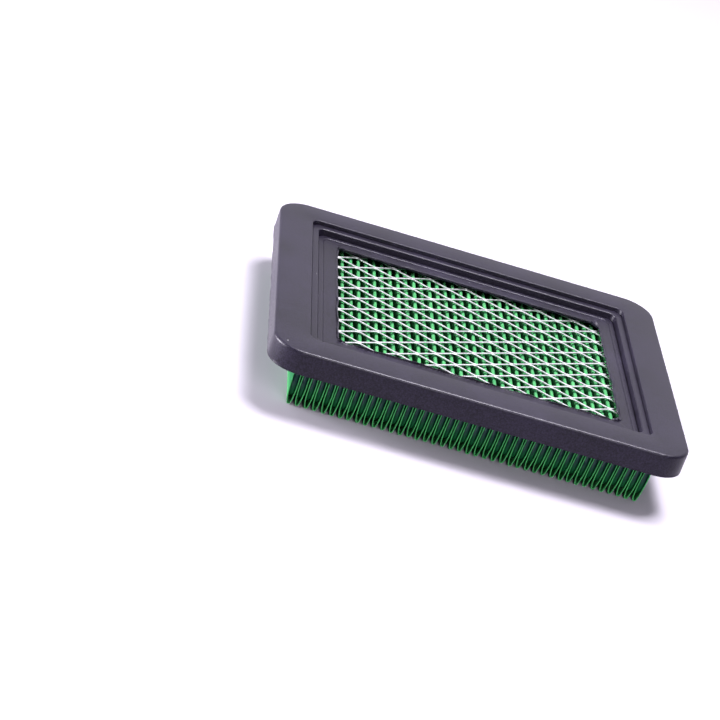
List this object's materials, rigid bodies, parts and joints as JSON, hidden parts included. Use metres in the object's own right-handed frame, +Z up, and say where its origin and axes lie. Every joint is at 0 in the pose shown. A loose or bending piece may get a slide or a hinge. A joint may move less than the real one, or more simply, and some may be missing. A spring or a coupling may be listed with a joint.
{
  "type": "panel air filter cartridge",
  "caption": "Rectangular engine air filter cartridge: soft moulded rim with a stepped recess, expanded metal screen and a pleated cloth pack below it.",
  "frame": {"origin": "centre of the underside, on the plane of the lower folds", "axes": "+X along the rim's long side, +Y along the rim's short side and the folds, +Z up out of the stepped recess"},
  "size_m": [0.133, 0.1146, 0.0218],
  "materials": {
    "rim": "satin moulded polyurethane, dark grey",
    "screen": "bright galvanised expanded metal",
    "cloth": "matt green nonwoven filter cloth",
    "compound": "dull dark sealing compound"
  },
  "bodies": {
    "root": {"seal_frame": "rim", "wire_screen": "screen", "pleated_media": "cloth", "edge_seal_front": "compound", "edge_seal_back": "compound"}
  },
  "joints": []
}
